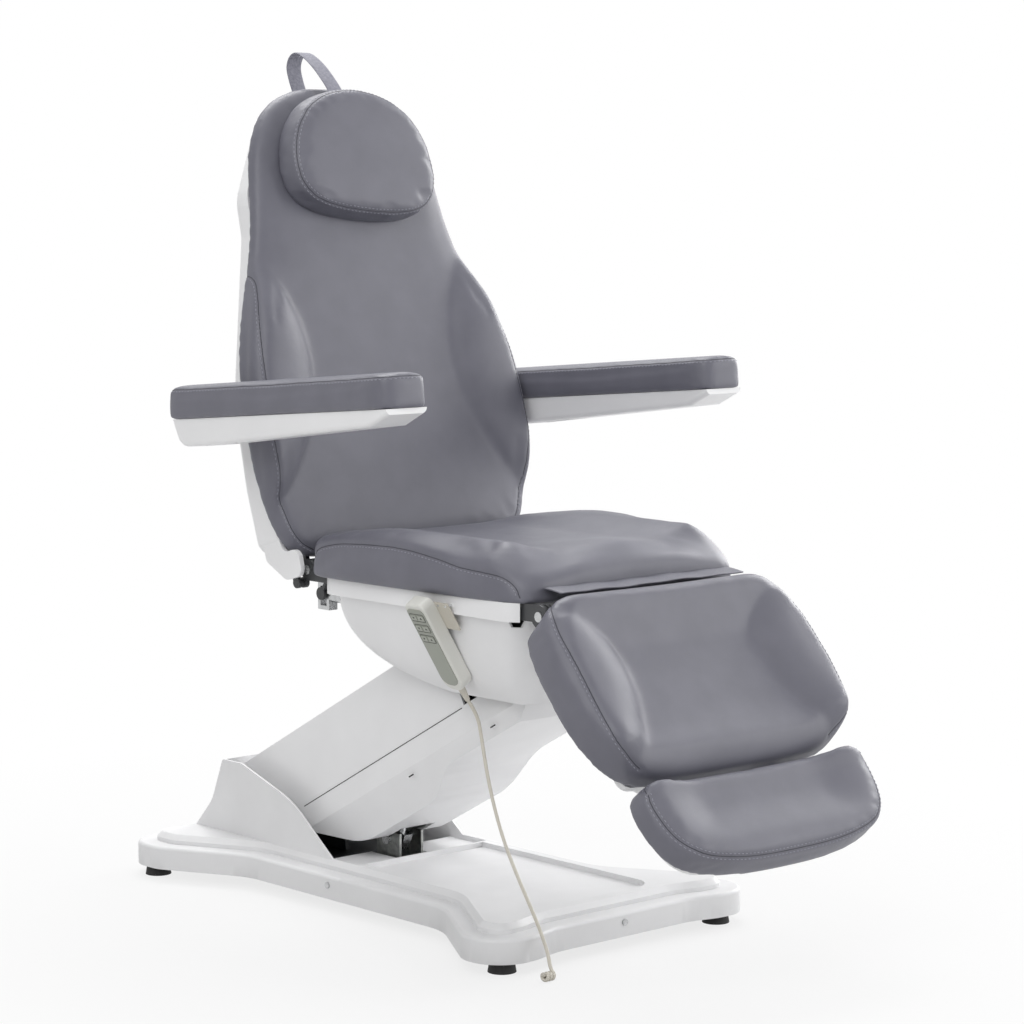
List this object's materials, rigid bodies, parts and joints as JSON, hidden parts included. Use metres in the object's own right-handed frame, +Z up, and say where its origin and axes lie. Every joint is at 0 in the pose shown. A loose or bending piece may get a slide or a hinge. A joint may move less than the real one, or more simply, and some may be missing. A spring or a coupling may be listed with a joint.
{
  "type": "electric facial bed",
  "caption": "Powered treatment chair-bed: padded seat, reclining back with level armrests and head pillow, leg and foot rest, on a lift arm and a four-lobed base, with a wired handset.",
  "frame": {"origin": "on the floor, under the middle of the rest box", "axes": "+Z up; the bed faces -Y; +X to the right of a viewer who looks along +Y, and X = 0 is the plane of symmetry"},
  "size_m": [0.795, 1.385, 1.4663],
  "materials": {
    "white_plastic": "smooth",
    "grey_leatherette": "grain",
    "strap_webbing": "woven",
    "black_rubber": "matte",
    "steel_frame": "satin",
    "bright_steel": "turned",
    "galvanised": "galvanised",
    "black_plastic": "fine texture",
    "chrome": "polished",
    "grey_panel": "satin",
    "key_plastic": "satin",
    "beige_plastic": "satin"
  },
  "bodies": {
    "base": {"base_frame": "steel_frame", "base_front_cover": "white_plastic", "base_rear_cover": "white_plastic", "rubber_feet": "black_rubber", "cover_screws": "bright_steel", "actuator_bracket": "galvanised", "bracket_bolt": "bright_steel", "control_box": "black_plastic", "power_inlet": "black_plastic"},
    "lift_arm": {"arm_beam": "steel_frame", "arm_shaft": "bright_steel", "arm_upper_cover": "white_plastic", "arm_lower_cover": "white_plastic", "seat_shaft": "bright_steel", "lift_motor": "black_plastic", "motor_trunnions": "bright_steel"},
    "level_link": {"level_link": "steel_frame"},
    "lift_rod": {"lift_rod": "bright_steel"},
    "seat": {"seat_frame": "steel_frame", "seat_pan": "white_plastic", "seat_pad": "grey_leatherette", "front_flap": "grey_leatherette", "back_hinge_pins": "bright_steel", "leg_hinge_pins": "bright_steel", "back_motor": "black_plastic", "leg_motor": "black_plastic", "handset_shell": "white_plastic", "handset_panel": "grey_panel", "handset_hanger": "beige_plastic", "hanger_clips": "chrome", "cord_relief": "beige_plastic", "handset_cord": "beige_plastic", "cord_curl": "beige_plastic"},
    "back_rod": {"back_rod": "bright_steel"},
    "leg_rod": {"leg_rod": "bright_steel"},
    "back": {"back_frame": "steel_frame", "back_shell": "white_plastic", "back_pad": "grey_leatherette"},
    "armrest_left": {"armrest_pad_left": "grey_leatherette", "armrest_tray_left": "white_plastic"},
    "armrest_right": {"armrest_pad_right": "grey_leatherette", "armrest_tray_right": "white_plastic"},
    "armrest_link_left": {"armrest_link_left": "steel_frame"},
    "armrest_link_right": {"armrest_link_right": "steel_frame"},
    "pillow": {"pillow": "grey_leatherette", "pillow_strap": "strap_webbing"},
    "leg": {"leg_frame": "steel_frame", "leg_shell": "white_plastic", "leg_pad": "grey_leatherette"},
    "foot": {"foot_shell": "white_plastic", "foot_pad": "grey_leatherette", "slide_tubes": "chrome"},
    "key_1": {"key_1": "key_plastic"},
    "key_2": {"key_2": "key_plastic"},
    "key_3": {"key_3": "key_plastic"},
    "key_4": {"key_4": "key_plastic"},
    "key_5": {"key_5": "key_plastic"},
    "key_6": {"key_6": "key_plastic"}
  },
  "joints": [
    {"name": "lift", "type": "hinge", "parent": "base", "child": "lift_arm", "pos_m": [0, 0.498, 0.131], "axis": [-1, 0, 0], "range_deg": [0, 25]},
    {"name": "level", "type": "hinge", "parent": "base", "child": "level_link", "pos_m": [0, 0.51, 0.183], "axis": [-1, 0, 0], "range_deg": [0, 25]},
    {"name": "lift_rod_slide", "type": "slide", "parent": "lift_arm", "child": "lift_rod", "axis": [0, 0.3551, -0.9348], "range_m": [0, 0.10849]},
    {"name": "seat_level", "type": "hinge", "parent": "lift_arm", "child": "seat", "pos_m": [0, -0.11833, 0.46286], "axis": [-1, 0, 0], "range_deg": [-25, 0]},
    {"name": "recline", "type": "hinge", "parent": "seat", "child": "back", "pos_m": [0, 0.218, 0.585], "axis": [-1, 0, 0], "range_deg": [-4, 74]},
    {"name": "back_rod_slide", "type": "slide", "parent": "seat", "child": "back_rod", "axis": [0, -1, 0], "range_m": [-0.00388, 0.07165]},
    {"name": "armrest_left_level", "type": "hinge", "parent": "back", "child": "armrest_left", "pos_m": [0, 0.321, 0.825], "axis": [-1, 0, 0], "range_deg": [-74, 4]},
    {"name": "armrest_right_level", "type": "hinge", "parent": "back", "child": "armrest_right", "pos_m": [0, 0.321, 0.825], "axis": [-1, 0, 0], "range_deg": [-74, 4]},
    {"name": "armrest_link_left_swing", "type": "hinge", "parent": "seat", "child": "armrest_link_left", "pos_m": [0, 0.231, 0.5625], "axis": [-1, 0, 0], "range_deg": [-4, 74]},
    {"name": "armrest_link_right_swing", "type": "hinge", "parent": "seat", "child": "armrest_link_right", "pos_m": [0, 0.231, 0.5625], "axis": [-1, 0, 0], "range_deg": [-4, 74]},
    {"name": "pillow_slide", "type": "slide", "parent": "back", "child": "pillow", "axis": [0, 0.2656, 0.9641], "range_m": [-0.03, 0.05]},
    {"name": "leg_swing", "type": "hinge", "parent": "seat", "child": "leg", "pos_m": [0, -0.352, 0.565], "axis": [-1, 0, 0], "range_deg": [-10, 50]},
    {"name": "leg_rod_slide", "type": "slide", "parent": "seat", "child": "leg_rod", "axis": [0, -1, 0], "range_m": [-0.01001, 0.05001]},
    {"name": "foot_slide", "type": "slide", "parent": "leg", "child": "foot", "axis": [0, -0.6428, -0.766], "range_m": [0, 0.12]},
    {"name": "key_1_press", "type": "slide", "parent": "seat", "child": "key_1", "axis": [0.848, 0, 0.5299], "range_m": [0, 0.0008], "stiffness_N_per_m": 800},
    {"name": "key_2_press", "type": "slide", "parent": "seat", "child": "key_2", "axis": [0.848, 0, 0.5299], "range_m": [0, 0.0008], "stiffness_N_per_m": 800},
    {"name": "key_3_press", "type": "slide", "parent": "seat", "child": "key_3", "axis": [0.848, 0, 0.5299], "range_m": [0, 0.0008], "stiffness_N_per_m": 800},
    {"name": "key_4_press", "type": "slide", "parent": "seat", "child": "key_4", "axis": [0.848, 0, 0.5299], "range_m": [0, 0.0008], "stiffness_N_per_m": 800},
    {"name": "key_5_press", "type": "slide", "parent": "seat", "child": "key_5", "axis": [0.848, 0, 0.5299], "range_m": [0, 0.0008], "stiffness_N_per_m": 800},
    {"name": "key_6_press", "type": "slide", "parent": "seat", "child": "key_6", "axis": [0.848, 0, 0.5299], "range_m": [0, 0.0008], "stiffness_N_per_m": 800}
  ],
  "couplings": [
    {"joint": "level", "follows": "lift", "ratio": 1},
    {"joint": "lift_rod_slide", "follows": "lift", "m_per_rad": 0.24862},
    {"joint": "seat_level", "follows": "lift", "ratio": -1},
    {"joint": "back_rod_slide", "follows": "recline", "m_per_rad": 0.055464},
    {"joint": "armrest_left_level", "follows": "recline", "ratio": -1},
    {"joint": "armrest_right_level", "follows": "recline", "ratio": -1},
    {"joint": "armrest_link_left_swing", "follows": "recline", "ratio": 1},
    {"joint": "armrest_link_right_swing", "follows": "recline", "ratio": 1},
    {"joint": "leg_rod_slide", "follows": "leg_swing", "m_per_rad": 0.057296}
  ]
}
